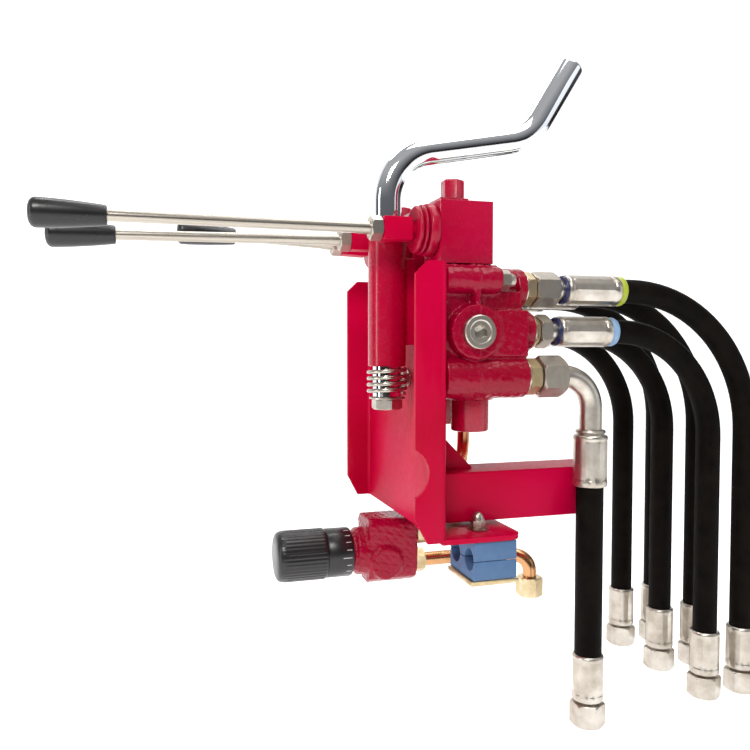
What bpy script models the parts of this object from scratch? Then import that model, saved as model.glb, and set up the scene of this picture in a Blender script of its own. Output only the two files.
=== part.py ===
"""Three-lever hydraulic monoblock valve on its folded bracket, with its port fittings, hoses and pipework.

Every size below is in millimetres. The build frame has X away from the operator, Y across the valve
from its near end, and Z up, counted from the bracket's near top corner. One empty then carries the
whole valve to the point where its square mounting stub is held.
"""

import math

import bmesh
import bpy
from mathutils import Matrix, Vector

MM = 0.001
GAP = 0.3

SHEET = 4.0
BRACKET_WIDTH = 200.0
BRACKET_TOP = 62.0
BRACKET_FOOT = -148.0
FLANGE_DEPTH = 26.0

# Sides of a large, a middling and a small round shape.
FINE = 20
ROUND = 14
SMALL = 10

SECTIONS = (32.0, 94.0, 156.0)
SPOOL_X = 31.0
SPOOL_BORE = 9.3
SPOOL_RADIUS = 9.0
COLUMN_TOP = 62.0
COLUMN_FOOT = -43.0
PORT_A = {"z": 45.0, "face": 74.6, "nut": (84.5, 105.9), "ferrule": (113.8, 163.0), "hex": 25.0}
PORT_B = {"z": 11.0, "face": 82.0, "nut": (88.3, 99.0), "ferrule": (107.7, 155.0), "hex": 24.0}
PORT_BORE = 10.2
RETURN_Y = 17.0
RETURN_Z = -25.0
RETURN_FACE = 69.0
RETURN_DROP_X = 131.4
FEED = (60.0, 110.0)
BOLT_HOLES = ((80.0, -28.0), (130.0, 48.0))

PIVOT_X = 14.0
PIVOT_Z = 88.6
BALL_RADIUS = 5.0
LEVER_ROD = 4.5
KNOB_ENDS = (-289.0, -286.0, -189.0)
KNOB_LENGTH = 50.0
LEVER_TILTS = (0.0, -1.0, 2.5)
HEAD_STARTS = (-42.5, -51.0, -42.5)

HANDLE_X = -28.0
HANDLE_Y = 63.0
HANDLE_RADIUS = 11.5

REGULATOR_Y = 140.0
REGULATOR_Z = -188.0
STUB_SIDE = 40.0
STUB_NEAR = 32.0
STUB_TOP = -101.5
STUB_END = 150.0
CLAMP_BOLT = (35.5, 24.8)
HOLD_POINT = (110.0, STUB_NEAR + STUB_SIDE / 2, STUB_TOP)

HOSE_RADIUS = 10.2
RETURN_HOSE_RADIUS = 11.0
HOSE_END_Z = -255.0

# The outline's two axes and then the axis that it is carried along.
PLANES = {"X": (1, 2, 0), "Y": (0, 2, 1), "Z": (0, 1, 2)}


def clear_scene():
    for old in list(bpy.data.objects):
        bpy.data.objects.remove(old, do_unlink=True)


def make_material(name, colour, roughness, metallic):
    made = bpy.data.materials.new(name)
    made.use_nodes = True
    shader = made.node_tree.nodes["Principled BSDF"]
    shader.inputs["Base Color"].default_value = (*colour, 1.0)
    shader.inputs["Roughness"].default_value = roughness
    shader.inputs["Metallic"].default_value = metallic
    return made


def placed(axis, first, second, along):
    point = [0.0, 0.0, 0.0]
    i, j, k = PLANES[axis]
    point[i], point[j], point[k] = first, second, along
    return Vector(point) * MM


def closed(shape):
    bmesh.ops.recalc_face_normals(shape, faces=shape.faces)
    return shape


def prism(axis, outline, start, end):
    """A flat outline carried straight along an axis."""
    shape = bmesh.new()
    low = [shape.verts.new(placed(axis, a, b, start)) for a, b in outline]
    high = [shape.verts.new(placed(axis, a, b, end)) for a, b in outline]
    shape.faces.new(low)
    shape.faces.new(high)
    for i in range(len(outline)):
        j = (i + 1) % len(outline)
        shape.faces.new((low[i], low[j], high[j], high[i]))
    return closed(shape)


def block(low, high):
    outline = [(low[0], low[1]), (high[0], low[1]), (high[0], high[1]), (low[0], high[1])]
    return prism("Z", outline, low[2], high[2])


def turned(axis, centre, profile, sides=ROUND):
    """A profile of (radius, place along the axis) turned about the axis. It starts and ends on the axis,
    or it closes on itself and leaves a bore."""
    shape = bmesh.new()
    on_axis = profile[0][0] == 0.0
    rings = []
    for radius, along in profile:
        count = sides if radius > 0.0 else 1
        ring = []
        for i in range(count):
            turn = math.tau * (i + 0.5) / sides
            first = centre[0] + radius * math.cos(turn)
            second = centre[1] + radius * math.sin(turn)
            ring.append(shape.verts.new(placed(axis, first, second, along)))
        rings.append(ring)
    if not on_axis:
        rings.append(rings[0])
    for near, far in zip(rings, rings[1:]):
        for i in range(sides):
            j = (i + 1) % sides
            corners = [near[i % len(near)], near[j % len(near)], far[j % len(far)], far[i % len(far)]]
            shape.faces.new(dict.fromkeys(corners))
    return closed(shape)


def rod(axis, centre, radius, start, end, sides=ROUND):
    return turned(axis, centre, [(0.0, start), (radius, start), (radius, end), (0.0, end)], sides)


def hexagon(axis, centre, across_flats, start, end):
    corner = across_flats / math.sqrt(3.0)
    chamfer = across_flats * 0.06
    profile = [(0.0, start), (corner - chamfer, start), (corner, start + chamfer)]
    profile += [(corner, end - chamfer), (corner - chamfer, end), (0.0, end)]
    return turned(axis, centre, profile, 6)


def ball(centre, radius):
    """A sphere turned about the Y axis from a half circle."""
    steps = 6
    profile = []
    for i in range(steps + 1):
        turn = math.pi * i / steps
        reach = 0.0 if i in (0, steps) else radius * math.sin(turn)
        profile.append((reach, centre[1] - radius * math.cos(turn)))
    return turned("Y", (centre[0], centre[2]), profile, SMALL)


def swept(points, radius, sides=SMALL):
    """A round bar of one radius along a list of points, capped at both ends. Each ring is turned as
    little as possible from the one before it."""
    shape = bmesh.new()
    path = [Vector(p) * MM for p in points]
    last = len(path) - 1
    across = None
    rings = []
    for i, point in enumerate(path):
        along = (path[min(i + 1, last)] - path[max(i - 1, 0)]).normalized()
        if across is None:
            across = along.orthogonal().normalized()
        across = (across - along * across.dot(along)).normalized()
        other = along.cross(across)
        ring = []
        for k in range(sides):
            turn = math.tau * k / sides
            offset = (across * math.cos(turn) + other * math.sin(turn)) * radius * MM
            ring.append(shape.verts.new(point + offset))
        rings.append(ring)
    shape.faces.new(rings[0])
    shape.faces.new(rings[-1])
    for near, far in zip(rings, rings[1:]):
        for k in range(sides):
            j = (k + 1) % sides
            shape.faces.new((near[k], near[j], far[j], far[k]))
    return closed(shape)


def filleted(corners, radii, steps=6):
    """The corners' line with each inner corner rounded by an arc of its own radius."""
    corners = [Vector(c) for c in corners]
    path = [corners[0]]
    for before, corner, after, radius in zip(corners, corners[1:], corners[2:], radii):
        into = (corner - before).normalized()
        out = (after - corner).normalized()
        bend = into.angle(out)
        reach = radius * math.tan(bend / 2)
        start = corner - into * reach
        inward = (out - into * out.dot(into)).normalized()
        for i in range(steps + 1):
            turn = bend * i / steps
            path.append(start + into * radius * math.sin(turn) + inward * radius * (1 - math.cos(turn)))
    path.append(corners[-1])
    return path


def helix(centre, coil, low, high, turns, per_turn):
    points = []
    count = int(turns * per_turn)
    for i in range(count + 1):
        turn = math.tau * i / per_turn
        height = low + (high - low) * i / count
        points.append((centre[0] + coil * math.cos(turn), centre[1] + coil * math.sin(turn), height))
    return points


def as_object(name, shape, material=None):
    mesh = bpy.data.meshes.new(name)
    shape.to_mesh(mesh)
    shape.free()
    made = bpy.data.objects.new(name, mesh)
    bpy.context.scene.collection.objects.link(made)
    if material:
        made.data.materials.append(material)
    return made


def combine(target, shapes, operation):
    """Joins shapes to the target or cuts them from it, with the exact solver."""
    for shape in shapes:
        tool = as_object("tool", shape)
        step = target.modifiers.new(operation, "BOOLEAN")
        step.object = tool
        step.operation = operation
        step.solver = "EXACT"
        graph = bpy.context.evaluated_depsgraph_get()
        result = bpy.data.meshes.new_from_object(target.evaluated_get(graph))
        target.modifiers.clear()
        target.data = result
        bpy.data.objects.remove(tool, do_unlink=True)


def piece(name, material, shapes, cuts=(), pivot=(0.0, 0.0, 0.0)):
    """One named solid: overlapping shapes joined, then cuts taken out, its origin at the pivot."""
    made = as_object(name, shapes[0], material)
    combine(made, shapes[1:], "UNION")
    combine(made, cuts, "DIFFERENCE")
    return finish(made, pivot)


def finish(made, pivot):
    place = Vector(pivot) * MM
    for point in made.data.vertices:
        point.co -= place
    made.location = place
    made.parent = FRAME
    made.data.shade_smooth()
    made.data.set_sharp_from_angle(angle=math.radians(35))
    return made


def hollow_hexagon(name, material, axis, centre, across_flats, start, end, bore):
    nut = hexagon(axis, centre, across_flats, start, end)
    return piece(name, material, [nut], [rod(axis, centre, bore, start - 1, end + 1, 16)])


def make_bracket():
    back = -SHEET
    width = BRACKET_WIDTH
    outline = [(-FLANGE_DEPTH, 0), (-6, 0), (-3, 0.8), (-0.8, 3), (0, 6)]
    outline += [(0, width - 6), (-0.8, width - 3), (-3, width - 0.8), (-6, width), (-FLANGE_DEPTH, width)]
    outline += [(-FLANGE_DEPTH, width - SHEET), (-6, width - SHEET), (back, width - 6)]
    outline += [(back, 6), (-6, SHEET), (-FLANGE_DEPTH, SHEET)]
    channel = prism("Z", outline, BRACKET_FOOT, BRACKET_TOP)
    foot_outline = [(back, 0.5), (52, 0.5), (59, 3), (63, 9), (63, 50), (53, 60), (back, 60)]
    foot = prism("Z", foot_outline, -150, -146)
    gusset = prism("Y", [(-1, -58), (-1, STUB_TOP + GAP), (40, STUB_TOP + GAP), (40, STUB_TOP + 1.5)], 48, 53)
    top_corner = prism("Y", [(-27, 63.5), (-27, 51.5), (-14.5, 63.5)], -1, width + 1)
    low_corner = prism("Y", [(-27, -127), (-27, -152), (-13.8, -152)], -1, width + 1)
    notch = rod("Y", (-34.9, -95.3), 20.2, -1, SHEET + 1, 28)
    holes = [rod("X", hole, 4.4, back - 1, 1, SMALL) for hole in BOLT_HOLES]
    clamp_hole = rod("Z", CLAMP_BOLT, 3.6, -151, -145, SMALL)
    return piece("bracket", RED, [channel, foot, gusset], [top_corner, low_corner, notch, *holes, clamp_hole])


def make_stub():
    far = STUB_NEAR + STUB_SIDE
    foot = STUB_TOP - STUB_SIDE
    wall = 3.0
    outer = block((GAP, STUB_NEAR, foot), (STUB_END, far, STUB_TOP))
    inner = block((GAP - 1, STUB_NEAR + wall, foot + wall), (STUB_END + 1, far - wall, STUB_TOP - wall))
    piece("mounting_stub", RED, [outer], [inner])


def make_valve_body():
    profile = [(GAP, COLUMN_TOP - 0.4), (48, COLUMN_TOP - 0.4), (66, 46), (70, 12), (62, -8), (60, -38), (GAP, -38)]
    shapes = [prism("Y", profile, 14, 174)]
    cuts = []
    for y in SECTIONS:
        shapes.append(rod("Z", (SPOOL_X, y), 19, COLUMN_FOOT, COLUMN_TOP, FINE))
        cuts.append(rod("Z", (SPOOL_X, y), SPOOL_BORE, COLUMN_FOOT - 1, COLUMN_TOP + 1, ROUND))
        for port in (PORT_A, PORT_B):
            face = port["face"]
            shapes.append(rod("X", (y, port["z"]), 16, 40, face, 16))
            cuts.append(rod("X", (y, port["z"]), PORT_BORE, face - 15, face + 1, 12))
            cuts.append(rod("X", (y, port["z"]), 5, SPOOL_X, face - 14, 8))
    shapes.append(rod("X", (12, 50), 10, GAP, 46, 16))
    shapes.append(rod("Y", (24.8, 9.8), 21, 3, 20, 24))
    shapes.append(block((24, 6, -9), (69, 20, 27)))
    shapes.append(rod("X", (RETURN_Y, RETURN_Z), 16.5, GAP, RETURN_FACE, FINE))
    shapes.append(block((23.8, 5, 4), (28.2, 20, 46)))
    shapes.append(block((GAP, 170, -30), (58, 186, 52)))
    shapes.append(rod("Z", FEED, 13, -46, -30, ROUND))
    cuts.append(block((46, -1, 41.5), (66, 20.6, 64)))
    cuts.append(rod("X", (12, 50), 6.3, 34, 47, SMALL))
    cuts.append(rod("Y", (24.8, 9.8), PORT_BORE, 2, 15, 12))
    cuts.append(rod("X", (RETURN_Y, RETURN_Z), PORT_BORE, RETURN_FACE - 14, RETURN_FACE + 1, 12))
    cuts.append(rod("Z", FEED, 7.3, -47, -32, 12))
    cuts += [rod("X", hole, 4.4, -1, 14, 8) for hole in BOLT_HOLES]
    return piece("valve_body", RED_CAST, shapes, cuts)


def make_lever_box(number, y):
    """A block with a hollow under it. The pin holes are blind, and the middle box has no hexagon stem."""
    outer = block((-1, y - 18, COLUMN_TOP + GAP), (42, y + 18, 110))
    step = block((1, y - 12, 109), (24, y + 12, 112.5))
    stem = turned("Z", (15.5, y), [(0, 112), (9.2, 112), (9.2, 127), (8.2, 128), (0, 128)], 6)
    cavity = block((4, y - 9, COLUMN_TOP - 1), (39, y + 9, 105))
    window = rod("X", (y, PIVOT_Z), 14, -2, 5, 16)
    pin_hole = rod("Y", (PIVOT_X, PIVOT_Z), 3.3, y - 15.5, y + 15.5, SMALL)
    shapes = [outer, step] if number == 2 else [outer, step, stem]
    piece(f"lever_box_{number}", RED, shapes, [cavity, window, pin_hole])


def make_boot(number, y):
    """A rubber sleeve round the lever: a wide collar, then two thinner rings with a groove before each."""
    profile = [(14, -1.3), (20.3, -1.3), (20.3, -7.6), (19.6, -8.6), (15.6, -8.8), (15.6, -10.2), (19, -10.4)]
    profile += [(19, -12.2), (15.4, -12.4), (15.4, -13.8), (18, -14), (17.6, -16.4), (12, -17), (8.7, -17)]
    profile += [(8.7, -14.5), (14, -12)]
    piece(f"boot_{number}", RUBBER_RED, [turned("X", (y, PIVOT_Z), profile, 16)])


def make_spool(number, y):
    profile = [(0, -56), (4.5, -56), (4.5, -36), (SPOOL_RADIUS, -36), (SPOOL_RADIUS, -24), (6.5, -22)]
    profile += [(6.5, -12), (SPOOL_RADIUS, -10), (SPOOL_RADIUS, 4), (6.5, 6), (6.5, 16), (SPOOL_RADIUS, 18)]
    profile += [(SPOOL_RADIUS, 54), (7.5, 54.5), (7.5, 97), (0, 97)]
    slot = block((21, y - 9, PIVOT_Z - 5.4), (SPOOL_X + 5.4, y + 9, PIVOT_Z + 5.4))
    piece(f"spool_{number}", STEEL, [turned("Z", (SPOOL_X, y), profile, 12)], [slot])


def tilted(shapes, pivot, tilt):
    """Turns shapes about the pivot pin, so that the lever's outer end rises by the tilt in degrees."""
    turn = Matrix.Rotation(math.radians(tilt), 3, "Y")
    for shape in shapes:
        bmesh.ops.rotate(shape, cent=Vector(pivot) * MM, matrix=turn, verts=shape.verts)
    return shapes


def make_lever(number, y, knob_end, tilt, head_start):
    """The hub's finger and pin lie level, and its head, the rod and the knob stand at the lever's tilt."""
    pivot = (PIVOT_X, y, PIVOT_Z)
    axis = (y, PIVOT_Z)
    head = block((head_start, y - 8.5, PIVOT_Z - 8.5), (head_start + 22.5, y + 8.5, PIVOT_Z + 8.5))
    shank = rod("X", axis, 6.9, head_start + 21.5, 13, 12)
    thread = rod("X", axis, 5, head_start - 0.5, head_start + 13.5, 12)
    eye = rod("Y", (PIVOT_X, PIVOT_Z), 8.2, y - 8.1, y + 8.1, 16)
    finger = rod("X", axis, 2.5, PIVOT_X, SPOOL_X, 8)
    tip = ball((SPOOL_X, y, PIVOT_Z), BALL_RADIUS)
    pin = rod("Y", (PIVOT_X, PIVOT_Z), 3, y - 15.2, y + 15.2, 8)
    outer = tilted([head, shank], pivot, tilt)
    piece(f"lever_hub_{number}", RED, [*outer, eye, finger, tip, pin], tilted([thread], pivot, tilt), pivot)
    nut_end = head_start - GAP
    nut = tilted([hexagon("X", axis, 17, nut_end - 9.2, nut_end)], pivot, tilt)
    bore = tilted([rod("X", axis, 5, nut_end - 10, nut_end + 1, 12)], pivot, tilt)
    piece(f"lever_locknut_{number}", ZINC, nut, bore, pivot)
    inner = knob_end + KNOB_LENGTH
    bore_end = knob_end + 28
    bar = rod("X", axis, LEVER_ROD, bore_end + GAP, head_start + 13.2, 12)
    piece(f"lever_rod_{number}", STEEL, tilted([bar], pivot, tilt), pivot=pivot)
    profile = [(0, knob_end), (7, knob_end), (9.4, knob_end + 1.2), (10.2, knob_end + 5)]
    profile += [(9.8, knob_end + 26), (7.6, inner - 1.5), (6.6, inner), (4.8, inner), (4.8, bore_end)]
    profile += [(0, bore_end)]
    knob = tilted([turned("X", axis, profile, 16)], pivot, tilt)
    piece(f"lever_knob_{number}", BLACK, knob, pivot=pivot)


def make_spring_cap(number, y):
    profile = [(0, -68), (13, -68), (15, -66), (15, COLUMN_FOOT - GAP), (11.5, COLUMN_FOOT - GAP)]
    profile += [(11.5, -64), (0, -64)]
    piece(f"spring_cap_{number}", RED, [turned("Z", (SPOOL_X, y), profile, ROUND)])


def make_mounting_bolts():
    for number, hole in enumerate(BOLT_HOLES, 1):
        head = hexagon("X", hole, 13, -10, -SHEET - GAP)
        piece(f"mounting_bolt_{number}", ZINC, [head, rod("X", hole, 4, -6, 12, SMALL)])


def make_plug_and_relief():
    head = turned("Y", (24.8, 9.8), [(0, -2.7), (11.8, -2.7), (12.8, -1.7), (12.8, 2.7), (0, 2.7)], FINE)
    stem = rod("Y", (24.8, 9.8), 9.7, 2, 14, 12)
    socket = turned("Y", (24.8, 9.8), [(0, -4), (6, -4), (6, 3.5), (0, 3.5)], 6)
    piece("port_plug", ZINC, [head, stem], [socket])
    nut = hexagon("X", (12, 50), 14, 46 + GAP, 54)
    cap = turned("X", (12, 50), [(0, 53), (5, 53), (5, 58), (4, 59.5), (0, 59.5)], SMALL)
    stem = rod("X", (12, 50), 5.9, 36, 47, SMALL)
    piece("relief_valve", ZINC, [nut, cap, stem])


def work_ports():
    for y in SECTIONS:
        for port in (PORT_A, PORT_B):
            yield y, port


def make_work_fitting(number, y, port):
    """The port adapter, the swivel nut and the crimped hose tail, tightened into one rigid body."""
    centre = (y, port["z"])
    face = port["face"]
    start, end = port["nut"]
    low, high = port["ferrule"]
    seat = hexagon("X", centre, port["hex"] - 1, face + GAP, start)
    nut = hexagon("X", centre, port["hex"], start, end)
    profile = [(0, face - 13), (9.7, face - 13), (9.7, face + 2), (8.6, face + 3), (8.6, low)]
    profile += [(11.8, low + 0.5), (12.6, low + 2), (12.6, high - 1), (12, high), (0, high)]
    piece(f"hose_fitting_{number}", ZINC, [turned("X", centre, profile, ROUND), seat, nut])


def make_return_fitting():
    centre = (RETURN_Y, RETURN_Z)
    seat = hexagon("X", centre, 25, RETURN_FACE + GAP, 81.4)
    spigot = rod("X", centre, 9.7, RETURN_FACE - 12, RETURN_FACE + 1, 12)
    nipple = rod("X", centre, 8.8, 81, 92, 12)
    piece("return_adapter", BRASSY, [seat, spigot, nipple])
    hollow_hexagon("return_nut", ZINC, "X", centre, 29, 81.7, 103.8, 9.4)
    corners = [(92.5, RETURN_Y, RETURN_Z), (RETURN_DROP_X, RETURN_Y, RETURN_Z)]
    corners.append((RETURN_DROP_X, RETURN_Y, -72))
    elbow = swept(filleted(corners, [26.0], 8), 8.9, ROUND)
    profile = [(0, -70), (12, -70), (12, -73), (13.2, -73.5), (13.8, -75), (13.8, -114), (13.2, -115)]
    profile.append((0, -115))
    piece("return_elbow", ZINC, [elbow, turned("Z", (RETURN_DROP_X, RETURN_Y), profile, ROUND)])


def hose_corners(y, port):
    """The hose leaves the ferrule level, turns down in one wide bend and hangs to its end fitting."""
    start = port["ferrule"][1] + GAP
    drop = 300.0 if port is PORT_A else 260.0
    return [(start, y, port["z"]), (drop, y, port["z"]), (drop, y, HOSE_END_Z)]


def smooth_run(corners, radius, spacing):
    """Points at an even spacing along the corners' line with its one corner rounded, and one more that
    makes it leave its first point straight."""
    fine = filleted(corners, [radius], 48)
    total = sum((b - a).length for a, b in zip(fine, fine[1:]))
    count = max(4, round(total / spacing))
    points = []
    walked = 0.0
    wanted = 0.0
    for a, b in zip(fine, fine[1:]):
        step = (b - a).length
        while wanted <= walked + step + 1e-6 and len(points) <= count:
            points.append(a.lerp(b, min(1.0, (wanted - walked) / step)))
            wanted += total / count
        walked += step
    points.insert(1, fine[0].lerp(fine[1], 0.6))
    return points


def make_hose(name, points, radius):
    """A hose with the crimped sleeve and the nut of its far end on it, hanging straight down."""
    foot = points[-1]
    centre = (foot[0], foot[1])
    top = foot[2]
    profile = [(0, top), (12.6, top), (12.6, top - 36), (8.6, top - 38), (0, top - 38)]
    sleeve = turned("Z", centre, profile, ROUND)
    nut = hexagon("Z", centre, 25, top - 58, top - 37)
    piece(name, HOSE, [swept([*points[:-1], (*centre, top - 1)], radius, 10), sleeve, nut])


def make_hoses():
    for number, (y, port) in enumerate(work_ports(), 1):
        radius = 122.0 if port is PORT_A else 92.0
        make_hose(f"work_hose_{number}", smooth_run(hose_corners(y, port), radius, 40.0), HOSE_RADIUS)
    top = -115.3
    run = [Vector((RETURN_DROP_X, RETURN_Y, top + (HOSE_END_Z - top) * i / 4)) for i in range(5)]
    make_hose("return_hose", run, RETURN_HOSE_RADIUS)


def make_handle():
    centre = (HANDLE_X, HANDLE_Y)
    tube = turned("Z", centre, [(12.1, -17), (15.3, -17), (15.3, 84), (12.1, 84)], 24)
    lug = block((HANDLE_X + 14, HANDLE_Y - 4, 0), (-SHEET - GAP, HANDLE_Y + 4, 70))
    piece("handle_tube", RED, [tube, lug])
    pivot = (HANDLE_X, HANDLE_Y, 0.0)
    corners = [(HANDLE_X, HANDLE_Y, -41.4), (HANDLE_X, HANDLE_Y, 150.0), (97.0, HANDLE_Y, 174.0)]
    corners.append((138.0, HANDLE_Y, 240.0))
    bar = swept(filleted(corners, [42.0, 46.0], 6), HANDLE_RADIUS, 16)
    thread = rod("Z", centre, 5.4, -42, -21, 12)
    piece("swing_handle", CHROME, [bar], [thread], pivot)
    coil = swept(helix(centre, 14.9, -39.4, -19.3, 4.0, 10), 1.7, 5)
    piece("handle_spring", STEEL, [coil], pivot=pivot)
    flange = rod("Z", centre, 14.5, -43.6, -41.8, FINE)
    head = hexagon("Z", centre, 22, -52, -43.5)
    shank = rod("Z", centre, 5, -46, -23, SMALL)
    piece("handle_bolt", ZINC, [flange, head, shank], pivot=pivot)


def make_regulator():
    centre = (REGULATOR_Y, REGULATOR_Z)
    near = REGULATOR_Y - 20
    far = REGULATOR_Y + 20
    outline = [(near, -203), (near + 4, -211), (near + 12, -216), (far - 12, -216), (far - 4, -211)]
    outline += [(far, -203), (far, -161), (far - 4, -156.5), (near + 4, -156.5), (near, -161)]
    housing = prism("X", outline, -26, 20)
    chest = rod("Y", (-10, -196), 15, near - 3, near + 2, ROUND)
    neck = turned("X", centre, [(0, -40), (18.5, -40), (18.5, -36), (21.5, -35), (21.5, -25), (0, -25)], FINE)
    shaft_bore = rod("X", centre, 6.4, -41, -20, 12)
    piece("regulator_body", RED_CAST, [housing, neck, chest], [shaft_bore])
    grip = [(0, -108), (19, -108), (21.9, -105.5), (22.7, -101), (22.7, -64), (21.9, -63)]
    grip += [(21.9, -40.4), (0, -40.4)]
    spindle = rod("X", centre, 6, -41, -21, SMALL)
    piece("regulator_knob", BLACK, [turned("X", centre, grip, 24), spindle], pivot=(0, *centre))


def make_pipework():
    """Each pipe has its unions brazed on, so a pipe and its hexagons are one piece."""
    outlet = (132.0, -172.0)
    inlet = (146.0, -203.0)
    face = 20 + GAP
    corners = [(*FEED, -56), (60, 112, -95), (60, 132, -145), (60, *outlet), (33, *outlet)]
    pipe = swept(filleted(corners, [60.0, 50.0, 15.0], 4), 5.5, 8)
    unions = [hexagon("X", outlet, 20, face, 34), hexagon("Z", FEED, 20, -57, -46 - GAP)]
    piece("feed_pipe", PIPE, [pipe, *unions])
    end = (135.0, 124.0)
    corners = [(33, *inlet), (108, *inlet), (*end, -203.0), (*end, -223)]
    pipe = swept(filleted(corners, [30.0, 13.0], 4), 6.5, 8)
    unions = [hexagon("X", inlet, 20, face, 34), hexagon("Z", end, 22, -240, -222)]
    piece("supply_pipe", PIPE, [pipe, *unions])


def make_pipe_clamp():
    low = (22.0, 2.0)
    high = (58.0, 49.0)
    bores = (11.8, 37.8)
    bolt = CLAMP_BOLT
    seam = -165.3
    halves = (("clamp_upper", seam + GAP / 2, -150 - GAP), ("clamp_lower", -180, seam - GAP / 2))
    for name, foot, top in halves:
        cuts = [rod("X", (y, seam), 8.6, low[0] - 1, high[0] + 1, 16) for y in bores]
        cuts.append(rod("Z", bolt, 3.5, foot - 1, top + 1, SMALL))
        piece(name, BLUE, [block((*low, foot), (*high, top))], cuts)
    plate = block((low[0] - 2, low[1], -184), (high[0] + 2, high[1], -180 - GAP))
    piece("clamp_plate", BRASSY, [plate], [rod("Z", bolt, 3.5, -185, -179, SMALL)])
    head = hexagon("Z", bolt, 12, -190, -184 - GAP)
    piece("clamp_bolt", ZINC, [head, rod("Z", bolt, 3, -185, -136, SMALL)])
    dome = turned("Z", bolt, [(0, -139), (5.5, -139), (5.2, -135), (3.4, -132.4), (0, -131.6)], SMALL)
    washer = rod("Z", bolt, 8.5, -145.7, -144, ROUND)
    thread = rod("Z", bolt, 3.4, -147, -135.5, 8)
    piece("clamp_dome_nut", ZINC, [washer, hexagon("Z", bolt, 10.6, -144.2, -138), dome], [thread])


clear_scene()
FRAME = bpy.data.objects.new("held_point", None)
bpy.context.scene.collection.objects.link(FRAME)
FRAME.location = -Vector(HOLD_POINT) * MM

RED = make_material("red_paint", (0.62, 0.0, 0.045), 0.35, 0.0)
RED_CAST = make_material("red_paint_on_cast_iron", (0.62, 0.0, 0.045), 0.4, 0.0)
RUBBER_RED = make_material("painted_rubber", (0.55, 0.0, 0.04), 0.5, 0.0)
STEEL = make_material("bright_steel", (0.6, 0.58, 0.55), 0.3, 1.0)
CHROME = make_material("chrome", (0.85, 0.87, 0.9), 0.08, 1.0)
ZINC = make_material("zinc_plate", (0.62, 0.6, 0.56), 0.35, 1.0)
BRASSY = make_material("yellow_passivated_zinc", (0.7, 0.6, 0.4), 0.35, 1.0)
BLACK = make_material("black_plastic", (0.012, 0.012, 0.013), 0.35, 0.0)
HOSE = make_material("hose_rubber", (0.02, 0.018, 0.016), 0.6, 0.0)
PIPE = make_material("bronzed_steel_pipe", (0.5, 0.27, 0.14), 0.3, 1.0)
BLUE = make_material("blue_polypropylene", (0.1, 0.23, 0.5), 0.5, 0.0)

make_bracket()
make_stub()
make_valve_body()
for section, section_y in enumerate(SECTIONS, 1):
    make_lever_box(section, section_y)
    make_boot(section, section_y)
    make_spool(section, section_y)
    make_spring_cap(section, section_y)
    lever = section - 1
    make_lever(section, section_y, KNOB_ENDS[lever], LEVER_TILTS[lever], HEAD_STARTS[lever])
make_mounting_bolts()
make_plug_and_relief()
for port_number, (port_y, port_kind) in enumerate(work_ports(), 1):
    make_work_fitting(port_number, port_y, port_kind)
make_return_fitting()
make_hoses()
make_handle()
make_regulator()
make_pipework()
make_pipe_clamp()
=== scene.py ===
import math

import bmesh
import bpy
import numpy as np
from mathutils import Matrix, Vector


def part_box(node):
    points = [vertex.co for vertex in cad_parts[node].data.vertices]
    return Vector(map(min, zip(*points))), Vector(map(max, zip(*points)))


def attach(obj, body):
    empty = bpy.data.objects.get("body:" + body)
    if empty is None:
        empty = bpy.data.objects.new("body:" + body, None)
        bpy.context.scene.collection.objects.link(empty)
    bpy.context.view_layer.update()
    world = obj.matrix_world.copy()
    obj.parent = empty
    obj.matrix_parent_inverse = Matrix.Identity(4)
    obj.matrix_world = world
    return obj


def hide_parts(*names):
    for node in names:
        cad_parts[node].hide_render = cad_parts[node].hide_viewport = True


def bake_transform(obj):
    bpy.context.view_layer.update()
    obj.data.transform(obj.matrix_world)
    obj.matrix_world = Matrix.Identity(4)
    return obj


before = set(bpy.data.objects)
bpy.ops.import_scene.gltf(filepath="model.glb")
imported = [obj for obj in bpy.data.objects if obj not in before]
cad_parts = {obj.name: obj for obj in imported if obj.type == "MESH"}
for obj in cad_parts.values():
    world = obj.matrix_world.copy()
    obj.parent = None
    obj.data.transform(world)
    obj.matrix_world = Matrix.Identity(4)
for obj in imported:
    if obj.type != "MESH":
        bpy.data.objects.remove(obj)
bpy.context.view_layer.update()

# The build frame: X = 0 is the back of the bracket's folded sheet, Y = 0 its near edge, and its top edge
# stands 62 mm above Z = 0. All the sizes below are millimetres in that frame, and at() places them.
bracket_low, bracket_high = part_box("bracket")
datum = np.array([bracket_low.x + 0.026, bracket_low.y, bracket_high.z - 0.062])


def at(points):
    """Millimetres in the build frame to metres in the row frame: datum plus a thousandth of each number."""
    return datum + np.asarray(points, float) / 1000.0


# Camera: a short lens half a metre from the valve's near end, turned a little towards the hoses and
# tipped a little down, so the lever knobs on the left come closest.
eye = bpy.data.cameras.new("eye")
eye.lens = 36.0
eye.sensor_width = 36.0
eye.clip_start = 0.01
eye_object = bpy.data.objects.new("eye", eye)
bpy.context.scene.collection.objects.link(eye_object)
eye_object.location = at((-212.0, -516.3, 0.0))
eye_object.rotation_euler = (math.radians(90.0 - 2.29), 0.0, math.radians(-16.7))
bpy.context.scene.camera = eye_object


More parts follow.
